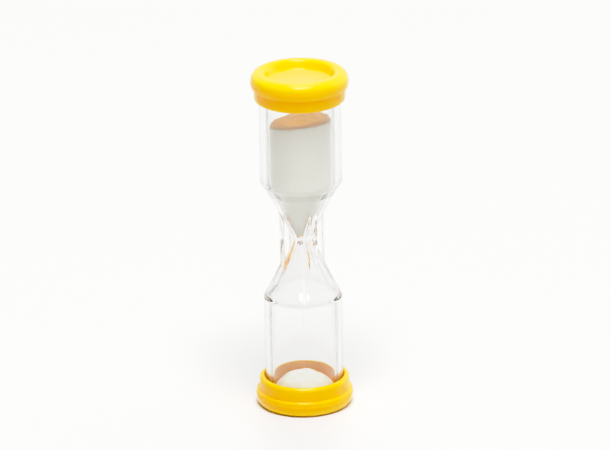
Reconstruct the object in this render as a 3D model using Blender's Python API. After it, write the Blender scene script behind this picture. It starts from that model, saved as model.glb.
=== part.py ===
"""Small sand timer: a clear one-piece body with a narrow neck, a moulded cap on each end, and its sand.

The timer stands on its bottom cap. The origin is the centre of its resting face and +Z is its axis.
"""
import math

import bmesh
import bpy
from mathutils import Matrix, Vector

# Driving dimensions, in metres. Heights on a cap are counted from its outer end face,
# heights on the body and the sand from the middle of the neck.
TOTAL_HEIGHT = 0.0900
NECK_HEIGHT = TOTAL_HEIGHT / 2
FIT_GAP = 0.0003

CAP_HEIGHT = 0.0077
CAP_RADIUS = 0.0126
CAP_CREST_INNER = 0.0092
CAP_CREST_OUTER = 0.01205
FLANGE_WIDEST = 0.0027
FLANGE_LIP_RADIUS = 0.01235
FLANGE_LIP_HEIGHT = 0.0040
FLANGE_HEIGHT = 0.00425
SKIRT_RADIUS = 0.01175
SKIRT_RIM_RADIUS = 0.0116
RECESS_RADIUS = 0.0080
RECESS_DEPTH = 0.0024
CAP_SEAT = 0.0039
SPIGOT_RADIUS = 0.0077
SPIGOT_HEIGHT = 0.0045

LOWER_TUBE_RADIUS = 0.01005
UPPER_TUBE_RADIUS = 0.01045
TUBE_SHOULDER = 0.0156
CONE_RADIUS = 0.0086
CONE_LENGTH = 0.0127
NECK_RADIUS = 0.0022

BORE_RADIUS = 0.0081
BORE_SHOULDER = 0.0152
FUNNEL_RADIUS = 0.0063
FUNNEL_LENGTH = 0.0126
THROAT_RADIUS = 0.0015
THROAT_LENGTH = 0.0014
ORIFICE_RADIUS = 0.0005
ORIFICE_LENGTH = 0.00045

FIN_RADIUS = 0.0060
FIN_THICKNESS = 0.0023
FIN_HALF_HEIGHT = 0.0079

SAND_LEVEL = 0.0321
SAND_DIP = 0.0016
SAND_DIP_RADIUS = 0.0046
SAND_TILT = 0.12
SAND_HIGH_SIDE = Vector((math.cos(math.radians(-52)), math.sin(math.radians(-52)), 0.0))
SAND_INSET = 0.0004
HEAP_RADIUS = 0.0076
HEAP_HEIGHT = 0.0034
HEAP_EDGE = 0.0003
STREAM_RADIUS = 0.0002

ROUND_SEGMENTS = 40
STREAM_SEGMENTS = 8
ARC_STEPS = 2
WELD_DISTANCE = 0.00001
SHARP_ANGLE = math.radians(40)


def clear_scene():
    """Remove the objects that the scene starts with."""
    for item in list(bpy.context.scene.objects):
        bpy.data.objects.remove(item, do_unlink=True)


def material(name, colour, roughness, metallic=0.0, transmission=0.0, ior=1.5):
    """A Principled material."""
    finish = bpy.data.materials.new(name)
    finish.use_nodes = True
    shader = finish.node_tree.nodes["Principled BSDF"]
    shader.inputs["Base Color"].default_value = (*colour, 1.0)
    shader.inputs["Roughness"].default_value = roughness
    shader.inputs["Metallic"].default_value = metallic
    shader.inputs["Transmission Weight"].default_value = transmission
    shader.inputs["IOR"].default_value = ior
    return finish


def corner_arc(before, corner, after, radius):
    """Points of the arc of the given radius that rounds one corner of an outline."""
    to_before = (before - corner).normalized()
    to_after = (after - corner).normalized()
    half_angle = to_before.angle(to_after) / 2
    centre = corner + (to_before + to_after).normalized() * (radius / math.sin(half_angle))
    start = corner + to_before * (radius / math.tan(half_angle)) - centre
    end = corner + to_after * (radius / math.tan(half_angle)) - centre
    sweep = math.pi - 2 * half_angle
    points = []
    for step in range(ARC_STEPS + 1):
        share = step / ARC_STEPS
        lean = start * math.sin((1 - share) * sweep) + end * math.sin(share * sweep)
        points.append(centre + lean / math.sin(sweep))
    return points


def rounded(corners):
    """An outline of (radius, height) points from corners given as (radius, height, rounding radius)."""
    spots = [Vector((corner[0], corner[1])) for corner in corners]
    outline = []
    for index, corner in enumerate(corners):
        if corner[2] == 0:
            outline.append(spots[index])
        else:
            outline += corner_arc(spots[index - 1], spots[index], spots[index + 1], corner[2])
    return outline


def turned_mesh(name, outline, segments=ROUND_SEGMENTS):
    """A closed mesh: an outline that starts and ends on the Z axis, spun once round it."""
    shape = bmesh.new()
    points = [shape.verts.new((radius, 0.0, height)) for radius, height in outline]
    edges = [shape.edges.new(pair) for pair in zip(points, points[1:])]
    bmesh.ops.spin(shape, geom=points + edges, cent=(0, 0, 0), axis=(0, 0, 1),
                   angle=2 * math.pi, steps=segments, use_duplicate=False)
    bmesh.ops.remove_doubles(shape, verts=shape.verts[:], dist=WELD_DISTANCE)
    bmesh.ops.recalc_face_normals(shape, faces=shape.faces[:])
    mesh = bpy.data.meshes.new(name)
    shape.to_mesh(mesh)
    shape.free()
    mesh.shade_smooth()
    mesh.set_sharp_from_angle(angle=SHARP_ANGLE)
    return mesh


def place(name, mesh, finish, height=0.0, parent=None):
    """Put a mesh in the scene as a named object whose own zero is at the given height."""
    piece = bpy.data.objects.new(name, mesh)
    piece.location.z = height
    piece.parent = parent
    if finish:
        mesh.materials.append(finish)
    bpy.context.scene.collection.objects.link(piece)
    return piece


def cutter(name, mesh, parent):
    """A helper solid for a Boolean, hidden from renders."""
    tool = place(name, mesh, None, NECK_HEIGHT, parent)
    tool.hide_render = True
    tool.display_type = "WIRE"
    return tool


def cap_outline(tube_radius):
    """Section of a cap: dished end, bulged flange, and a skirt round the end of the tube."""
    socket_radius = tube_radius + FIT_GAP
    return rounded([
        (0.0, RECESS_DEPTH, 0),
        (RECESS_RADIUS, RECESS_DEPTH, 0.0008),
        (CAP_CREST_INNER, 0.0, 0.0011),
        (CAP_CREST_OUTER, 0.0, 0.0020),
        (CAP_RADIUS, FLANGE_WIDEST, 0.0012),
        (FLANGE_LIP_RADIUS, FLANGE_LIP_HEIGHT, 0.0003),
        (SKIRT_RADIUS, FLANGE_HEIGHT, 0.0002),
        (SKIRT_RIM_RADIUS, CAP_HEIGHT, 0.0007),
        (socket_radius, CAP_HEIGHT, 0.0001),
        (socket_radius, CAP_SEAT, 0),
        (SPIGOT_RADIUS, CAP_SEAT, 0),
        (SPIGOT_RADIUS, SPIGOT_HEIGHT, 0.0002),
        (0.0, SPIGOT_HEIGHT, 0),
    ])


def make_caps(finish, parent):
    """The bottom cap stands on its crest; the top cap is the same cap turned over."""
    bottom = cap_outline(LOWER_TUBE_RADIUS)
    top = [Vector((radius, -height)) for radius, height in cap_outline(UPPER_TUBE_RADIUS)]
    place("bottom_cap", turned_mesh("bottom_cap", bottom), finish, 0.0, parent)
    place("top_cap", turned_mesh("top_cap", top), finish, TOTAL_HEIGHT, parent)


def body_half_corners(tube_radius):
    """Corners of the body's outside from next to the neck up to the end of one tube."""
    tube_end = NECK_HEIGHT - CAP_SEAT - FIT_GAP
    return [
        (CONE_RADIUS, CONE_LENGTH, 0.0008),
        (tube_radius, TUBE_SHOULDER, 0.0015),
        (tube_radius, tube_end, 0.0003),
        (0.0, tube_end, 0),
    ]


def chamber_corners(inset=0.0):
    """Corners of one chamber's wall from the orifice up to the straight bore, moved in by inset."""
    return [
        (THROAT_RADIUS - inset, THROAT_LENGTH, 0.0010),
        (FUNNEL_RADIUS - inset, FUNNEL_LENGTH, 0.0010),
        (BORE_RADIUS - inset, BORE_SHOULDER, 0.0015),
    ]


def upside_down(corners):
    """The same corners below the neck, in the order that runs towards it."""
    return [(radius, -height, rounding) for radius, height, rounding in reversed(corners)]


def body_outline():
    """Section of the body's outside: two tubes and two cones that meet at the neck."""
    lower = upside_down(body_half_corners(LOWER_TUBE_RADIUS))
    return rounded(lower + [(NECK_RADIUS, 0.0, 0.0025)] + body_half_corners(UPPER_TUBE_RADIUS))


def cavity_outline():
    """Section of the hollow inside the body, run past both ends of the tubes."""
    half = [(ORIFICE_RADIUS, ORIFICE_LENGTH, 0.0004)] + chamber_corners()
    half += [(BORE_RADIUS, NECK_HEIGHT, 0), (0.0, NECK_HEIGHT, 0)]
    return rounded(upside_down(half) + half)


def fin_mesh(name, size):
    """A flat plate through the neck, whose two ends are a pair of opposite fins."""
    shape = bmesh.new()
    bmesh.ops.create_cube(shape, size=1.0, matrix=Matrix.Diagonal((*size, 1.0)))
    mesh = bpy.data.meshes.new(name)
    shape.to_mesh(mesh)
    shape.free()
    return mesh


def combine(piece, name, operation, tool):
    """Add a Boolean modifier to a piece."""
    step = piece.modifiers.new(name, "BOOLEAN")
    step.operation = operation
    step.solver = "EXACT"
    step.object = tool


def make_body(finish, parent):
    """The clear body: turned outside, a cross of four fins at the waist, and the hollow through it."""
    body = place("clear_body", turned_mesh("clear_body", body_outline()), finish, NECK_HEIGHT, parent)
    span = 2 * FIN_RADIUS
    height = 2 * FIN_HALF_HEIGHT
    plates = {"fins_x": (span, FIN_THICKNESS, height), "fins_y": (FIN_THICKNESS, span, height)}
    for name, size in plates.items():
        combine(body, name, "UNION", cutter(name, fin_mesh(name, size), parent))
    cavity = cutter("cavity", turned_mesh("cavity", cavity_outline()), parent)
    combine(body, "cavity", "DIFFERENCE", cavity)


def upper_sand_outline():
    """Section of the sand that is still above the neck, with a dip where it runs out."""
    wall_radius = BORE_RADIUS - SAND_INSET
    return rounded(
        [(0.0, THROAT_LENGTH - SAND_INSET, 0)]
        + chamber_corners(SAND_INSET)
        + [
            (wall_radius, SAND_LEVEL, 0),
            (SAND_DIP_RADIUS, SAND_LEVEL, 0.0030),
            (0.0, SAND_LEVEL - SAND_DIP, 0),
        ]
    )


def tilt_surface(mesh):
    """Lean the sand's upper surface towards one side."""
    lowest = SAND_LEVEL - SAND_DIP - WELD_DISTANCE
    for vertex in mesh.vertices:
        if vertex.co.z > lowest:
            vertex.co.z += SAND_TILT * vertex.co.dot(SAND_HIGH_SIDE)


def heap_outline(floor):
    """Section of the low heap of sand on the bottom cap's spigot."""
    return rounded([
        (0.0, floor, 0),
        (HEAP_RADIUS, floor, 0),
        (HEAP_RADIUS, floor + HEAP_EDGE, 0),
        (HEAP_RADIUS / 2, floor + HEAP_HEIGHT, 0.0080),
        (0.0, floor + HEAP_HEIGHT, 0),
    ])


def stream_outline(low, high):
    """Section of the thin thread of falling sand."""
    return rounded([
        (0.0, low, 0),
        (STREAM_RADIUS, low, 0),
        (STREAM_RADIUS, high, 0),
        (0.0, high, 0),
    ])


def make_sand(finish, parent):
    """The sand in its three places: above the neck, falling, and heaped on the bottom cap."""
    upper = turned_mesh("upper_sand", upper_sand_outline())
    tilt_surface(upper)
    place("upper_sand", upper, finish, NECK_HEIGHT, parent)
    floor = SPIGOT_HEIGHT + FIT_GAP
    place("lower_sand", turned_mesh("lower_sand", heap_outline(floor)), finish, 0.0, parent)
    stream_low = floor + HEAP_HEIGHT + FIT_GAP
    stream_high = NECK_HEIGHT + THROAT_LENGTH - SAND_INSET - FIT_GAP
    stream = turned_mesh("sand_stream", stream_outline(stream_low, stream_high), STREAM_SEGMENTS)
    place("sand_stream", stream, finish, 0.0, parent)


def main():
    """Build the timer."""
    clear_scene()
    root = bpy.data.objects.new("sand_timer", None)
    bpy.context.scene.collection.objects.link(root)
    cap_plastic = material("cap_plastic", (0.95, 0.53, 0.01), 0.22)
    clear_plastic = material("clear_plastic", (0.97, 0.98, 0.98), 0.03, transmission=1.0, ior=1.59)
    sand = material("sand", (0.76, 0.75, 0.71), 0.9)
    make_caps(cap_plastic, root)
    make_body(clear_plastic, root)
    make_sand(sand, root)


main()
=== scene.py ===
"""Looks of the small sand timer: fine meshes, materials, and the studio that it stands in.

Pieces, top to bottom: a cap, the clear body, the sand above the neck, the grains that fall
through it, the heap below, and the other cap. Sections are in millimetres, all else in metres.
"""
import math
import random

import bmesh
import bpy
from mathutils import Matrix, Vector, noise


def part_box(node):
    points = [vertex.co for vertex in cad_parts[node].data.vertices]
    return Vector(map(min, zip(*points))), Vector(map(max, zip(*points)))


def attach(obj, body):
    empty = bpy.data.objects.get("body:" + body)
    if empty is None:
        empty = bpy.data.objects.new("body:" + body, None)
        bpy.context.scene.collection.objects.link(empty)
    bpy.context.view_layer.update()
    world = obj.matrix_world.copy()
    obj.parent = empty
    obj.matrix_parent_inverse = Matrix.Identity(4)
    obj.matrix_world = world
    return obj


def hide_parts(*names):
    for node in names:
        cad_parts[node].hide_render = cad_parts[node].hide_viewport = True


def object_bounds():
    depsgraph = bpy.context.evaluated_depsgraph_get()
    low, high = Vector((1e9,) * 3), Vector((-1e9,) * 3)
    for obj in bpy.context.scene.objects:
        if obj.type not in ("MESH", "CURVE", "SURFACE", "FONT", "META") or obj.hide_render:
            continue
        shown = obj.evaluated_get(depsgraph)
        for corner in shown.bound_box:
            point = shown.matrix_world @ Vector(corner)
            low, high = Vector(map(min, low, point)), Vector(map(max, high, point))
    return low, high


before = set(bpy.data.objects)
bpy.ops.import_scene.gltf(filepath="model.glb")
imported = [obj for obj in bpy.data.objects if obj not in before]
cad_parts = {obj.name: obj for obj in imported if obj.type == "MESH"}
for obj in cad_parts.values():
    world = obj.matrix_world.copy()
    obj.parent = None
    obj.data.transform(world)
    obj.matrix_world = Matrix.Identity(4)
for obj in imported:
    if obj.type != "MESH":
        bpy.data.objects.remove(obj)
cad_box = [list(corner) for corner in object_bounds()]

MM = 0.001

# Heights that the frame gives, in metres.
TOTAL_HEIGHT = cad_box[1][2]
NECK_HEIGHT = TOTAL_HEIGHT / 2
BODY_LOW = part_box("clear_body")[0][2]
BODY_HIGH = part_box("clear_body")[1][2]
LOWER_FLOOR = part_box("lower_sand")[0][2]
HEAP_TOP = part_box("lower_sand")[1][2]

# Sections, as the CAD has them, in millimetres. Cap heights are counted from the cap's end face
# and body heights from the middle of the neck.
CAP_HEIGHT = 7.7
CAP_RADIUS = 12.6
CAP_CREST_INNER = 9.2
CAP_CREST_OUTER = 12.05
FLANGE_WIDEST = 2.7
FLANGE_LIP_RADIUS = 12.35
FLANGE_LIP_HEIGHT = 4.0
FLANGE_HEIGHT = 4.25
SKIRT_RADIUS = 11.75
SKIRT_RIM_RADIUS = 11.6
RECESS_RADIUS = 8.0
RECESS_DEPTH = 2.4
CAP_SEAT = 3.9
SPIGOT_RADIUS = 7.7
SPIGOT_HEIGHT = 4.5
LOWER_TUBE_RADIUS = 10.05
UPPER_TUBE_RADIUS = 10.45
TUBE_SHOULDER = 15.6
CONE_RADIUS = 8.6
CONE_LENGTH = 12.7
NECK_RADIUS = 2.2
BORE_RADIUS = 8.1
BORE_SHOULDER = 15.2
FUNNEL_RADIUS = 6.3
FUNNEL_LENGTH = 12.6
THROAT_RADIUS = 1.5
THROAT_LENGTH = 1.4
ORIFICE_RADIUS = 0.5
ORIFICE_LENGTH = 0.45
FIN_RADIUS = 6.0
FIN_THICKNESS = 2.3
SOCKET_GAP = 0.3
SAND_LEVEL = 32.1
SAND_DIP = 1.6
SAND_DIP_RADIUS = 4.6
HEAP_RADIUS = 7.6
HEAP_EDGE = 0.3

# Details that are finer than the CAD's, or a little different from it, in millimetres.
SKIRT_RIM_ROUNDING = 0.95
FIN_EDGE = 0.3
FIN_FILLET = 0.5
SAND_FOOT = 0.9
SAND_INSET = 0.12

# The lean of the upper sand's surface: its slope, and the direction of its high side.
SAND_SLOPE = 0.12
SAND_HIGH_TURN = math.radians(-52)

# How finely curves are cut. Steps and cuts along a section are in millimetres, and a run is long
# when it would take more than LONG_RUN steps.
ARC_STEPS = 8
ROUND_STEPS = 160
CAP_STEP = 1.0
BODY_STEP = 0.55
FIN_STEP = 0.3
FIN_SPACING = math.radians(1.5)
SAND_STEP = 0.3
END_CUT = 0.3
LONG_RUN = 4

# Roughness of the sand: how deep its grains and lumps are, and how many there are to a metre.
GRAIN_DEPTH = 0.04 * MM
GRAINS_PER_METRE = 4000.0
SAND_LUMP = 0.25 * MM
SAND_LUMPS_PER_METRE = 700.0
HEAP_LUMP_SHARE = 0.2
HEAP_LUMPS_PER_METRE = 500.0


# Shapes

def corner_arc(before, corner, after, radius, steps):
    """Points of the arc of the given radius that rounds one corner of an outline."""
    to_before = (before - corner).normalized()
    to_after = (after - corner).normalized()
    half_angle = to_before.angle(to_after) / 2
    centre = corner + (to_before + to_after).normalized() * (radius / math.sin(half_angle))
    start = corner + to_before * (radius / math.tan(half_angle)) - centre
    end = corner + to_after * (radius / math.tan(half_angle)) - centre
    sweep = math.pi - 2 * half_angle
    points = []
    for step in range(steps + 1):
        share = step / steps
        lean = start * math.sin((1 - share) * sweep) + end * math.sin(share * sweep)
        points.append(centre + lean / math.sin(sweep))
    return points


def rounded(corners, steps=ARC_STEPS, closed=False):
    """An outline from corners given as (x, y, rounding radius)."""
    spots = [Vector(corner[:2]) for corner in corners]
    outline = []
    for index, corner in enumerate(corners):
        if corner[2] == 0:
            outline.append(spots[index])
            continue
        after = spots[(index + 1) % len(spots)] if closed else spots[index + 1]
        outline += corner_arc(spots[index - 1], spots[index], after, corner[2], steps)
    return outline


def divided(outline, longest, closed=False, beyond=math.inf):
    """The outline with its straight runs cut so that no step is longer than the given length.

    Long runs beyond a height are only cut close to their ends, which keeps their shading straight.
    """
    points = []
    ends = outline[1:] + outline[:1] if closed else outline[1:]
    for start, end in zip(outline, ends):
        length = (end - start).length
        count = max(1, math.ceil(length / longest))
        shares = [step / count for step in range(count)]
        if count > LONG_RUN and min(abs(start.y), abs(end.y)) > beyond:
            shares = [0.0, END_CUT / length, 1.0 - END_CUT / length]
        points += [start.lerp(end, share) for share in shares]
    return points if closed else points + [outline[-1]]


def even_turns(steps):
    """Angles evenly spread round the axis."""
    return [2 * math.pi * step / steps for step in range(steps)]


def turned(name, outline, turns, closed=False, radius_at=None):
    """A mesh turned about Z from an outline in millimetres, by angles that need not be even.

    A point on the axis becomes one vertex. radius_at(angle, radius, height) may change the radius.
    """
    shape = bmesh.new()
    rings = []
    for radius, height in outline:
        if radius < 1e-6:
            rings.append([shape.verts.new((0.0, 0.0, height * MM))])
            continue
        ring = []
        for turn in turns:
            reach = radius_at(turn, radius, height) if radius_at else radius
            place = (reach * math.cos(turn) * MM, reach * math.sin(turn) * MM, height * MM)
            ring.append(shape.verts.new(place))
        rings.append(ring)
    pairs = list(zip(rings, rings[1:] + rings[:1] if closed else rings[1:]))
    count = len(turns)
    for low, high in pairs:
        for step in range(count):
            after = (step + 1) % count
            if len(low) == 1:
                shape.faces.new((low[0], high[step], high[after]))
            elif len(high) == 1:
                shape.faces.new((low[step], low[after], high[0]))
            else:
                shape.faces.new((low[step], low[after], high[after], high[step]))
    bmesh.ops.recalc_face_normals(shape, faces=shape.faces[:])
    mesh = bpy.data.meshes.new(name)
    shape.to_mesh(mesh)
    shape.free()
    return mesh


def add_piece(name, mesh, finish, height, node, sharp=40):
    """Put a mesh in the scene as a piece that stands for a CAD node."""
    mesh.shade_smooth()
    mesh.set_sharp_from_angle(angle=math.radians(sharp))
    mesh.materials.append(finish)
    mesh.transform(Matrix.Translation((0.0, 0.0, height)))
    piece = bpy.data.objects.new(name, mesh)
    bpy.context.scene.collection.objects.link(piece)
    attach(piece, "root")
    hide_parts(node)
    return piece


def smooth_max(a, b, blend):
    """The larger of two numbers, with a rounded change from one to the other."""
    overlap = max(blend - abs(a - b), 0.0) / blend
    return max(a, b) + overlap * overlap * blend / 4


# Node helpers

class Nodes:
    """A short way to write a material's node tree."""

    def __init__(self, name):
        self.material = bpy.data.materials.new(name)
        self.material.use_nodes = True
        self.tree = self.material.node_tree
        self.shader = self.tree.nodes["Principled BSDF"]
        self.output = self.tree.nodes["Material Output"]
        self.place = self.tree.nodes.new("ShaderNodeTexCoord").outputs["Object"]

    def add(self, kind, settings=None, **inputs):
        """Add a node; inputs are plain values or output sockets, named with _ for a space."""
        node = self.tree.nodes.new(kind)
        for key, value in (settings or {}).items():
            setattr(node, key, value)
        for key, value in inputs.items():
            socket = node.inputs[key.replace("_", " ")]
            self.feed(socket, value)
        return node

    def feed(self, socket, value):
        """Link an output to a socket, or set the socket's own value."""
        if isinstance(value, bpy.types.NodeSocket):
            self.tree.links.new(value, socket)
        else:
            socket.default_value = value

    def noise(self, scale, detail=3.0, rough=0.5):
        """Noise over the object, with the scale in features per metre."""
        node = self.add("ShaderNodeTexNoise", Scale=scale, Detail=detail, Roughness=rough)
        self.feed(node.inputs["Vector"], self.place)
        return node.outputs["Fac"]

    def math(self, operation, *values):
        """The result of a math node."""
        node = self.add("ShaderNodeMath", {"operation": operation})
        for socket, value in zip(node.inputs, values):
            self.feed(socket, value)
        return node.outputs[0]

    def spread(self, factor, low, high, start=0.0, end=1.0):
        """Map a factor from start..end to low..high."""
        node = self.add("ShaderNodeMapRange", From_Min=start, From_Max=end, To_Min=low, To_Max=high)
        self.feed(node.inputs["Value"], factor)
        return node.outputs["Result"]

    def tint(self, factor, low, high):
        """Mix two colours, given as plain values or output sockets, by a factor."""
        node = self.add("ShaderNodeMix", {"data_type": "RGBA"})
        self.feed(node.inputs[0], factor)
        for socket, colour in ((node.inputs[6], low), (node.inputs[7], high)):
            self.feed(socket, (*colour, 1.0) if isinstance(colour, tuple) else colour)
        return node.outputs[2]

    def bump(self, height, strength, distance, under=None):
        """A bump from a height, over an earlier bump if one is given."""
        node = self.add("ShaderNodeBump", Strength=strength, Distance=distance)
        self.feed(node.inputs["Height"], height)
        if under:
            self.feed(node.inputs["Normal"], under)
        return node.outputs["Normal"]

    def let_through(self, colour):
        """Let lamps shine through each face, dimmed to this colour."""
        path = self.add("ShaderNodeLightPath")
        passing = self.add("ShaderNodeBsdfTransparent", Color=colour)
        mix = self.add("ShaderNodeMixShader")
        self.feed(mix.inputs[0], path.outputs["Is Shadow Ray"])
        self.feed(mix.inputs[1], self.shader.outputs[0])
        self.feed(mix.inputs[2], passing.outputs[0])
        self.feed(self.output.inputs["Surface"], mix.outputs[0])

    def finish(self, **inputs):
        """Set the shader's inputs and return the material."""
        for key, value in inputs.items():
            self.feed(self.shader.inputs[key.replace("_", " ")], value)
        return self.material


def reach_and_height(nodes):
    """Each point's distance from the axis and its distance above or below the neck."""
    split = nodes.add("ShaderNodeSeparateXYZ")
    nodes.feed(split.inputs[0], nodes.place)
    level = nodes.add("ShaderNodeCombineXYZ", X=split.outputs[0], Y=split.outputs[1])
    reach = nodes.add("ShaderNodeVectorMath", {"operation": "LENGTH"})
    nodes.feed(reach.inputs[0], level.outputs[0])
    height = nodes.math("ABSOLUTE", nodes.math("SUBTRACT", split.outputs[2], NECK_HEIGHT))
    return reach.outputs["Value"], height


def towards_end(nodes, height, start, end):
    """0 nearer the neck, rising to 1 between two depths, in millimetres, from the timer's ends."""
    return nodes.spread(height, 0.0, 1.0, NECK_HEIGHT - start * MM, NECK_HEIGHT - end * MM)


def dished_end(nodes, reach, height, radius):
    """1 inside the dished ends, out to a radius in millimetres, and 0 elsewhere."""
    inside = nodes.spread(reach, 1.0, 0.0, (radius - 0.6) * MM, radius * MM)
    outside = towards_end(nodes, height, RECESS_DEPTH + 0.3, RECESS_DEPTH + 0.1)
    return nodes.math("MULTIPLY", inside, outside)


def thick_rim(nodes, reach, height):
    """1 on the solid ring at each end, which passes little light, and 0 on the thin walls."""
    wide = nodes.spread(reach, 0.0, 1.0, (RECESS_RADIUS + 0.1) * MM, (RECESS_RADIUS + 0.5) * MM)
    return nodes.math("MULTIPLY", wide, towards_end(nodes, height, CAP_SEAT + 0.4, CAP_SEAT))


# Yellow plastic: its mottled tones, a paler crest and dish that are painted light from above, the satin
# floor of the dished end with a pale painted sheen, and the light that passes through each face of a
# thin wall and of the thick rim.
YELLOWS = ((0.96, 0.392, 0.002), (0.98, 0.412, 0.003))
# Painted light: the crest and the dish are paler, as if lit from above.
LIT_CREST_YELLOW = (0.97, 0.54, 0.014)
# Painted sheen: the satin floor is paler, as the reflection of the bright backdrop makes it look.
SHEEN_PAINTED_YELLOW = (0.95, 0.44, 0.07)
SATIN_ROUGHNESS = 0.4
THIN_WALL_PASSES = (0.54, 0.37, 0.11)
THICK_RIM_PASSES = (0.10, 0.05, 0.01)


def cap_colour(nodes, reach, height, satin_and_sheen):
    """Mottled yellow, paler where light from above is painted on the crest and the dish, and paler still
    where a sheen is painted on the satin floor.
    """
    moulded = nodes.tint(nodes.noise(180.0), *YELLOWS)
    # Painted light: the top few millimetres and the dish are made paler.
    lit_crest = towards_end(nodes, height, 2.4, 0.6)
    painted_light_mask = nodes.math("MAXIMUM", lit_crest, dished_end(nodes, reach, height, CAP_CREST_INNER + 0.6))
    return nodes.tint(satin_and_sheen, nodes.tint(painted_light_mask, moulded, LIT_CREST_YELLOW), SHEEN_PAINTED_YELLOW)


def cap_plastic():
    """Glossy yellow moulded plastic with faint mottling, waviness and handling scuffs, and painted light
    and sheen on its top.
    """
    nodes = Nodes("cap_plastic")
    reach, height = reach_and_height(nodes)
    satin_and_sheen = dished_end(nodes, reach, height, RECESS_RADIUS)
    scuffs = nodes.noise(2600.0, 5.0, 0.7)
    worn = nodes.spread(scuffs, 0.10, 0.22, 0.35, 0.75)
    waves = nodes.bump(nodes.noise(320.0, 1.0), 0.12, 0.1 * MM)
    rim = thick_rim(nodes, reach, height)
    nodes.let_through(nodes.tint(rim, THIN_WALL_PASSES, THICK_RIM_PASSES))
    return nodes.finish(
        # Base colour with painted light on the crest and a painted sheen on the satin floor.
        Base_Color=cap_colour(nodes, reach, height, satin_and_sheen),
        Roughness=nodes.math("MAXIMUM", worn, nodes.spread(satin_and_sheen, 0.0, SATIN_ROUGHNESS)),
        Normal=nodes.bump(scuffs, 0.05, 0.02 * MM, waves),
        IOR=1.5,
        Specular_IOR_Level=nodes.spread(satin_and_sheen, 0.3, 0.7),
        Specular_Tint=(1.0, 0.95, 0.7, 1.0),
        Subsurface_Weight=0.6,
        Subsurface_Scale=3.0 * MM,
        Subsurface_Radius=(1.0, 0.9, 0.2),
    )


# Clear plastic: its tint seen straight on, the painted shade that darkens it at a glance, the painted
# shaded line at the bore's edge, and how much light each face of the tubes and of the waist lets through
# to what is behind it.
CLEAR_FACING = (0.970, 0.972, 0.970)
GLANCING_PAINTED_SHADE = (0.37, 0.375, 0.37)
# Painted shade: a grey line along the bore's edge.
BORE_EDGE_PAINTED_SHADE = (0.28, 0.28, 0.275)
TUBES_PASS = (0.50, 0.50, 0.49)
WAIST_PASSES = (0.66, 0.66, 0.65)


def bore_edge_shade_band(nodes, facing):
    """1 on the inner faces in the narrow band of angles where a shaded line is painted at the bore's
    edge, and 0 elsewhere.
    """
    rise = nodes.spread(facing, 0.0, 1.0, 0.215, 0.228)
    fall = nodes.spread(facing, 1.0, 0.0, 0.245, 0.275)
    inner = nodes.add("ShaderNodeNewGeometry").outputs["Backfacing"]
    return nodes.math("MULTIPLY", nodes.math("MULTIPLY", rise, fall), inner)


def clear_plastic():
    """Clear styrene plastic: bright, a little wavy, with fine scuffs, painted shade at glancing angles
    and a painted shaded line at its bore.
    """
    nodes = Nodes("clear_plastic")
    facing = nodes.add("ShaderNodeLayerWeight", Blend=0.5).outputs["Facing"]
    # Painted shade: the plastic is tinted darker towards glancing angles.
    tint_and_glancing_shade = nodes.tint(nodes.math("POWER", facing, 3.0), CLEAR_FACING, GLANCING_PAINTED_SHADE)
    edge_shade = bore_edge_shade_band(nodes, facing)
    scuffs = nodes.noise(1500.0, 4.0, 0.7)
    height = reach_and_height(nodes)[1]
    waist = nodes.spread(height, 1.0, 0.0, 11.0 * MM, 15.0 * MM)
    nodes.let_through(nodes.tint(waist, TUBES_PASS, WAIST_PASSES))
    return nodes.finish(
        # Base colour with painted shade at glancing angles and along the bore's edge, where less light
        # also passes.
        Base_Color=nodes.tint(edge_shade, tint_and_glancing_shade, BORE_EDGE_PAINTED_SHADE),
        Roughness=nodes.spread(scuffs, 0.0, 0.05, 0.4, 0.8),
        Normal=nodes.bump(nodes.noise(140.0, 1.0), 0.04, 0.2 * MM),
        IOR=1.59,
        Transmission_Weight=nodes.spread(edge_shade, 1.0, 0.42),
    )


# Sand: the darkest and the palest grain above, and in the heap with painted warm light, and how many
# grains to a metre.
WHITE_GRAINS = ((0.845, 0.84, 0.785), (0.935, 0.93, 0.87))
HEAP_PAINTED_WARM_GRAINS = ((0.80, 0.75, 0.62), (0.89, 0.84, 0.71))
GRAIN_SCALE = 6500.0


def sand_finish():
    """Fine pale sand, painted warmer in the heap as warm light: each grain its own tone, with a grainy
    surface.
    """
    nodes = Nodes("sand")
    cells = nodes.add("ShaderNodeTexVoronoi", Scale=GRAIN_SCALE)
    nodes.feed(cells.inputs["Vector"], nodes.place)
    grey = nodes.add("ShaderNodeSeparateColor")
    nodes.feed(grey.inputs[0], cells.outputs["Color"])
    white = nodes.tint(grey.outputs[0], *WHITE_GRAINS)
    warm_lit = nodes.tint(grey.outputs[0], *HEAP_PAINTED_WARM_GRAINS)
    height = reach_and_height(nodes)[1]
    # Painted light: the heap is tinted warmer, as warm light would make it.
    heap = towards_end(nodes, height, HEAP_TOP / MM + 1.0, HEAP_TOP / MM)
    return nodes.finish(
        Base_Color=nodes.tint(heap, white, warm_lit),
        Roughness=0.85,
        Normal=nodes.bump(cells.outputs["Distance"], 0.6, 0.06 * MM),
    )


# Pieces

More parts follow.
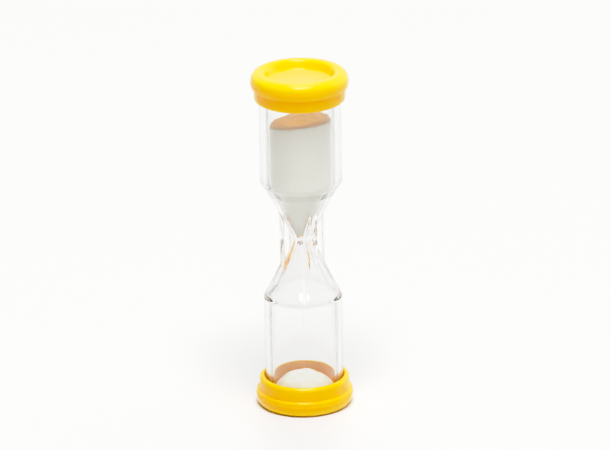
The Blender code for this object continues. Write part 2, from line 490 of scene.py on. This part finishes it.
def cap_outline(tube_radius):
    """Section of a cap, in millimetres from its end face."""
    socket_radius = tube_radius + SOCKET_GAP
    return divided(rounded([
        (0.0, RECESS_DEPTH, 0),
        (RECESS_RADIUS, RECESS_DEPTH, 0.8),
        (CAP_CREST_INNER, 0.0, 1.1),
        (CAP_CREST_OUTER, 0.0, 2.0),
        (CAP_RADIUS, FLANGE_WIDEST, 1.2),
        (FLANGE_LIP_RADIUS, FLANGE_LIP_HEIGHT, 0.3),
        (SKIRT_RADIUS, FLANGE_HEIGHT, 0.2),
        (SKIRT_RIM_RADIUS, CAP_HEIGHT, SKIRT_RIM_ROUNDING),
        (socket_radius, CAP_HEIGHT, 0.1),
        (socket_radius, CAP_SEAT, 0),
        (SPIGOT_RADIUS, CAP_SEAT, 0),
        (SPIGOT_RADIUS, SPIGOT_HEIGHT, 0.2),
        (0.0, SPIGOT_HEIGHT, 0),
    ]), CAP_STEP)


def make_caps(finish):
    """Both caps; the top one is turned over."""
    turns = even_turns(ROUND_STEPS)
    turned_over = [Vector((point.x, -point.y)) for point in cap_outline(UPPER_TUBE_RADIUS)]
    bottom = turned("bottom_cap_shell", cap_outline(LOWER_TUBE_RADIUS), turns)
    top = turned("top_cap_shell", turned_over, turns)
    add_piece("bottom_cap_shell", bottom, finish, 0.0, "bottom_cap")
    add_piece("top_cap_shell", top, finish, TOTAL_HEIGHT, "top_cap")


def fin_section():
    """Outline of the cross of fins, seen along the axis: a plus with rounded edges."""
    half = FIN_THICKNESS / 2
    one_fin = ((FIN_RADIUS, -half, FIN_EDGE), (FIN_RADIUS, half, FIN_EDGE), (half, half, 0))
    corners = []
    for quarter in range(4):
        spin = Matrix.Rotation(quarter * math.pi / 2, 2)
        for x, y, rounding in one_fin:
            spot = spin @ Vector((x, y))
            corners.append((spot.x, spot.y, rounding))
    return divided(rounded(corners, closed=True), FIN_STEP, closed=True)


def fin_reach(section, spacing):
    """How far the cross of fins reaches, as {angle: distance}, with angles at most spacing apart."""
    reach = {}
    for start, end in zip(section, section[1:] + section[:1]):
        swing = start.angle_signed(end, 0.0)
        count = max(1, math.ceil(abs(swing) / spacing))
        for step in range(count):
            turn = math.atan2(start.y, start.x) - swing * step / count
            ray = Vector((math.cos(turn), math.sin(turn)))
            run = end - start
            across = run.x * ray.y - run.y * ray.x
            share = (start.y * ray.x - start.x * ray.y) / across if across else 0.0
            reach[turn] = (start + run * share).length
    return reach


def body_half(tube_radius, tube_end):
    """Corners of the body's outside from next to the neck to the end of one tube."""
    return [
        (CONE_RADIUS, CONE_LENGTH, 0.8),
        (tube_radius, TUBE_SHOULDER, 1.5),
        (tube_radius, tube_end, 0.3),
    ]


def chamber_half(inset=0.0):
    """Corners of one chamber's wall from the throat to the bore, moved in by inset."""
    return [
        (THROAT_RADIUS - inset, THROAT_LENGTH, 1.0),
        (FUNNEL_RADIUS - inset, FUNNEL_LENGTH, 1.0),
        (BORE_RADIUS - inset, BORE_SHOULDER, 1.5),
    ]


def upside_down(corners):
    """The same corners below the neck, in the order that runs towards it."""
    return [(radius, -height, rounding) for radius, height, rounding in reversed(corners)]


def make_body(finish):
    """The clear body: a closed section turned about the axis, its outside swelled by the four fins."""
    low_end = (NECK_HEIGHT - BODY_LOW) / MM
    high_end = (BODY_HIGH - NECK_HEIGHT) / MM
    outside = upside_down(body_half(LOWER_TUBE_RADIUS, low_end))
    outside += [(NECK_RADIUS, 0.0, 2.5)] + body_half(UPPER_TUBE_RADIUS, high_end)
    half_hollow = [(ORIFICE_RADIUS, ORIFICE_LENGTH, 0.4)] + chamber_half()
    high_mouth = [(BORE_RADIUS, high_end, 0)]
    low_mouth = [(BORE_RADIUS, -low_end, 0)]
    hollow = list(reversed(half_hollow + high_mouth))
    hollow += [(radius, -height, rounding) for radius, height, rounding in half_hollow] + low_mouth
    outline = rounded(outside + hollow, closed=True)
    outline = divided(outline, BODY_STEP, closed=True, beyond=CONE_LENGTH + 0.5)
    reach = fin_reach(fin_section(), FIN_SPACING)
    turns = list(reach)

    def with_fins(turn, radius, height):
        cone = NECK_RADIUS + (CONE_RADIUS - NECK_RADIUS) * abs(height) / CONE_LENGTH
        if radius < cone - 0.05 or abs(height) > CONE_LENGTH:
            return radius
        return smooth_max(radius, reach[turn], FIN_FILLET)

    mesh = turned("clear_body_shell", outline, turns, closed=True, radius_at=with_fins)
    add_piece("clear_body_shell", mesh, finish, NECK_HEIGHT, "clear_body", sharp=35)


def make_grainy(mesh, moves):
    """Roughen a sand mesh with grains, and shift each point by moves(place)."""
    mesh.update()
    normals = [vertex.normal.copy() for vertex in mesh.vertices]
    for vertex, normal in zip(mesh.vertices, normals):
        grain = normal * GRAIN_DEPTH * noise.noise(vertex.co * GRAINS_PER_METRE)
        vertex.co += grain + moves(vertex.co)


def make_upper_sand(finish):
    """The sand above the neck, with a leaning surface that dips where it runs out."""
    wall = BORE_RADIUS - SAND_INSET
    surface = [
        (wall, SAND_LEVEL, 0.3),
        (SAND_DIP_RADIUS, SAND_LEVEL, 3.0),
        (0.0, SAND_LEVEL - SAND_DIP, 0),
    ]
    outline = rounded([(0.0, SAND_FOOT, 0)] + chamber_half(SAND_INSET) + surface)
    mesh = turned("upper_sand_grains", divided(outline, SAND_STEP), even_turns(ROUND_STEPS))
    lowest = (SAND_LEVEL - SAND_DIP) * MM
    fade = 2 * MM
    high_side = Vector((math.cos(SAND_HIGH_TURN), math.sin(SAND_HIGH_TURN), 0.0))

    def lean(place):
        share = min(max((place.z - lowest + fade) / fade, 0.0), 1.0)
        lumps = noise.noise(place * SAND_LUMPS_PER_METRE) * SAND_LUMP
        return Vector((0.0, 0.0, share * (SAND_SLOPE * place.dot(high_side) + lumps)))

    make_grainy(mesh, lean)
    add_piece("upper_sand_grains", mesh, finish, NECK_HEIGHT, "upper_sand", sharp=80)


def make_heap(finish):
    """The low heap of sand on the bottom cap."""
    height = (HEAP_TOP - LOWER_FLOOR) / MM
    outline = rounded([
        (0.0, 0.0, 0),
        (HEAP_RADIUS, 0.0, 0),
        (HEAP_RADIUS, HEAP_EDGE, 0.1),
        (HEAP_RADIUS / 2, height, 8.0),
        (0.0, height, 0),
    ])
    mesh = turned("lower_sand_grains", divided(outline, SAND_STEP), even_turns(ROUND_STEPS))

    def lumps(place):
        return Vector((0.0, 0.0, noise.noise(place * HEAP_LUMPS_PER_METRE) * HEAP_LUMP_SHARE * place.z))

    make_grainy(mesh, lumps)
    add_piece("lower_sand_grains", mesh, finish, LOWER_FLOOR, "lower_sand", sharp=80)


# The falling thread: how many grains, the seed of their places, and its sizes in millimetres.
FALLING_GRAINS = 170
FALLING_SEED = 7
THREAD_RADIUS = 0.12
THREAD_SPREAD = 0.12
GRAIN_RADIUS = (0.05, 0.08)


def make_stream(finish):
    """The thread of falling sand, as separate grains that spread a little as they fall."""
    draw = random.Random(FALLING_SEED)
    shape = bmesh.new()
    high = NECK_HEIGHT + SAND_FOOT * MM
    low = HEAP_TOP + 0.1 * MM
    for index in range(FALLING_GRAINS):
        share = (index + draw.random()) / FALLING_GRAINS
        height = high - (high - low) * share
        spread = THREAD_RADIUS + THREAD_SPREAD * share
        angle = draw.random() * 2 * math.pi
        offset = spread * math.sqrt(draw.random()) * MM
        spot = Vector((math.cos(angle) * offset, math.sin(angle) * offset, height))
        size = draw.uniform(*GRAIN_RADIUS) * MM
        bmesh.ops.create_icosphere(shape, subdivisions=1, radius=size, matrix=Matrix.Translation(spot))
    mesh = bpy.data.meshes.new("falling_grains")
    shape.to_mesh(mesh)
    shape.free()
    add_piece("falling_grains", mesh, finish, 0.0, "sand_stream", sharp=80)


# Setting

FLOOR_SIZE = 12.0
PAPER_TONES = ((0.745, 0.742, 0.73), (0.755, 0.752, 0.74))

# Glow of the world: in front of the timer, behind it, overhead, and at the far left and right.
ROOM_LEVEL = 0.32
SWEEP_LEVEL = 1.2
CEILING_LEVEL = 0.5
LEFT_LEVEL = 0.25
RIGHT_LEVEL = 1.35

# Each lamp: name, rise above the horizon and turn to the right in degrees, half width and half
# height in degrees, and glow.
LAMP_DISTANCE = 6.0
LAMPS = (
    ("overhead_softbox", 72.0, 6.0, (13.0, 13.0), 21.1),
    ("back_softbox", 62.0, 176.0, (8.0, 6.0), 12.0),
    ("front_softbox", 40.0, 3.0, (6.0, 24.0), 1.4),
)

# The camera: where it stands as seen from the timer, its roll and lens, and the point it aims at,
# which is this far right of and above the neck.
VIEW_TURN = math.radians(-30)
VIEW_RISE = math.radians(20.27)
VIEW_DISTANCE = 1.483
VIEW_ROLL = math.radians(0.98)
AIM_RIGHT = 0.8 * MM
AIM_UP = 3.2 * MM
SENSOR_WIDTH = 36.0
FOCAL_LENGTH = 342.06

# How the picture keeps detail in whites: scene brightness and what is shown for it, up to WHITE.
# BLACK_BLUE is the blue that is shown as none, which keeps the yellow clean.
WHITE = 1.6
BLACK_BLUE = 0.030
SHOULDER = (
    (0.25, 0.25),
    (0.5, 0.5),
    (0.7, 0.69),
    (0.9, 0.825),
    (1.16, 0.877),
    (1.36, 0.932),
    (1.45, 0.97),
)

# Light paths through the clear plastic need many bounces; very bright ones are dimmed to a limit.
BOUNCES = 64
BRIGHTEST_BOUNCE = 20.0


def make_floor():
    """A large pale floor."""
    mesh = bpy.data.meshes.new("floor")
    half = FLOOR_SIZE / 2
    corners = [(-half, -half, 0), (half, -half, 0), (half, half, 0), (-half, half, 0)]
    mesh.from_pydata(corners, [], [(0, 1, 2, 3)])
    floor = bpy.data.objects.new("floor", mesh)
    bpy.context.scene.collection.objects.link(floor)
    nodes = Nodes("floor_paper")
    colour = nodes.tint(nodes.noise(8.0), *PAPER_TONES)
    mesh.materials.append(nodes.finish(Base_Color=colour, Roughness=0.6, Specular_IOR_Level=0.2))


def area_light(name, place, target, size, power):
    """A soft rectangular white light aimed at a point."""
    lamp = bpy.data.lights.new(name, "AREA")
    lamp.shape = "RECTANGLE"
    lamp.size, lamp.size_y = size
    lamp.energy = power
    item = bpy.data.objects.new(name, lamp)
    item.location = place
    item.rotation_euler = (Vector(target) - Vector(place)).to_track_quat("-Z", "Y").to_euler()
    bpy.context.scene.collection.objects.link(item)


def view_axes():
    """The camera's right, up and backward directions."""
    right = Vector((math.cos(VIEW_TURN), math.sin(VIEW_TURN), 0.0))
    level = Vector((math.sin(VIEW_TURN), -math.cos(VIEW_TURN), 0.0))
    back = level * math.cos(VIEW_RISE) + Vector((0.0, 0.0, math.sin(VIEW_RISE)))
    return right, back.cross(right), back


def make_camera():
    """A long lens at the photograph's height and distance, rolled as it was."""
    right, up, back = view_axes()
    lens = bpy.data.cameras.new("camera")
    lens.sensor_width = SENSOR_WIDTH
    lens.lens = FOCAL_LENGTH
    lens.clip_end = 100.0
    camera = bpy.data.objects.new("camera", lens)
    aim = Vector((0.0, 0.0, NECK_HEIGHT)) + right * AIM_RIGHT + up * AIM_UP
    place = Matrix.Translation(aim + back * VIEW_DISTANCE)
    facing = Matrix((right, up, back)).transposed().to_4x4()
    camera.matrix_world = place @ facing @ Matrix.Rotation(-VIEW_ROLL, 4, "Z")
    bpy.context.scene.collection.objects.link(camera)
    bpy.context.scene.camera = camera


def world_directions(tree):
    """The parts of a world direction that point away from the camera, to its right, and up."""
    right, up, back = view_axes()
    away = Vector((-back.x, -back.y, 0.0)).normalized()
    place = tree.nodes.new("ShaderNodeTexCoord")
    parts = []
    for axis in (away, right, Vector((0.0, 0.0, 1.0))):
        dot = tree.nodes.new("ShaderNodeVectorMath")
        dot.operation = "DOT_PRODUCT"
        dot.inputs[1].default_value = axis
        tree.links.new(place.outputs["Generated"], dot.inputs[0])
        parts.append(dot.outputs["Value"])
    return parts


def ramp(tree, source, start, end, low, high):
    """A smooth change of a value from low to high."""
    node = tree.nodes.new("ShaderNodeMapRange")
    node.interpolation_type = "SMOOTHSTEP"
    for name, value in (("From Min", start), ("From Max", end), ("To Min", low), ("To Max", high)):
        node.inputs[name].default_value = value
    tree.links.new(source, node.inputs["Value"])
    return node.outputs["Result"]


def product(tree, *factors):
    """Several values multiplied."""
    result = factors[0]
    for factor in factors[1:]:
        node = tree.nodes.new("ShaderNodeMath")
        node.operation = "MULTIPLY"
        tree.links.new(result, node.inputs[0])
        tree.links.new(factor, node.inputs[1])
        result = node.outputs[0]
    return result


def make_world():
    """A white sweep behind the timer, with a dim room before and above it, and a darker left side."""
    world = bpy.data.worlds.new("studio")
    world.use_nodes = True
    tree = world.node_tree
    background = tree.nodes["Background"]
    background.inputs["Color"].default_value = (1.0, 1.0, 1.0, 1.0)
    away, right, high = world_directions(tree)
    sweep = ramp(tree, away, -0.35, 0.35, ROOM_LEVEL, SWEEP_LEVEL)
    ceiling = ramp(tree, high, 0.45, 0.80, 1.0, CEILING_LEVEL)
    left_side = ramp(tree, right, -0.95, -0.45, LEFT_LEVEL, 1.0)
    right_side = ramp(tree, right, 0.3, 0.9, 1.0, RIGHT_LEVEL)
    glow = product(tree, sweep, ceiling, left_side, right_side)
    tree.links.new(glow, background.inputs["Strength"])
    bpy.context.scene.world = world


def lamp_place(rise, turn, distance):
    """A place as seen from the neck: rise above the horizon, and turn to the camera's right."""
    right, up, back = view_axes()
    towards = Vector((back.x, back.y, 0.0)).normalized()
    level = towards * math.cos(math.radians(turn)) + right * math.sin(math.radians(turn))
    tilt = math.radians(rise)
    direction = level * math.cos(tilt) + Vector((0.0, 0.0, math.sin(tilt)))
    return Vector((0.0, 0.0, NECK_HEIGHT)) + direction * distance


def make_lamps():
    """A large softbox almost overhead, a small one behind, and a tall dim one on the camera's side."""
    target = Vector((0.0, 0.0, NECK_HEIGHT))
    for name, rise, turn, size, glow in LAMPS:
        place = lamp_place(rise, turn, LAMP_DISTANCE)
        width, height = (2 * LAMP_DISTANCE * math.tan(math.radians(half)) for half in size)
        area_light(name, place, target, (width, height), glow * math.pi * width * height)


def set_colours():
    """Plain colours with a soft shoulder in the whites, and enough bounces for clear plastic."""
    view = bpy.context.scene.view_settings
    view.view_transform = "Standard"
    view.use_curve_mapping = True
    view.curve_mapping.black_level = (0.0, 0.0, BLACK_BLUE)
    view.curve_mapping.white_level = (WHITE, WHITE, WHITE)
    curve = view.curve_mapping.curves[3]
    for level, shown in SHOULDER:
        curve.points.new(level / WHITE, shown)
    view.curve_mapping.update()
    cycles = bpy.context.scene.cycles
    cycles.max_bounces = BOUNCES
    cycles.glossy_bounces = BOUNCES
    cycles.transmission_bounces = BOUNCES
    cycles.sample_clamp_indirect = BRIGHTEST_BOUNCE


caps = cap_plastic()
clear = clear_plastic()
sand = sand_finish()
make_caps(caps)
make_body(clear)
make_upper_sand(sand)
make_heap(sand)
make_stream(sand)
make_floor()
make_camera()
make_world()
make_lamps()
set_colours()
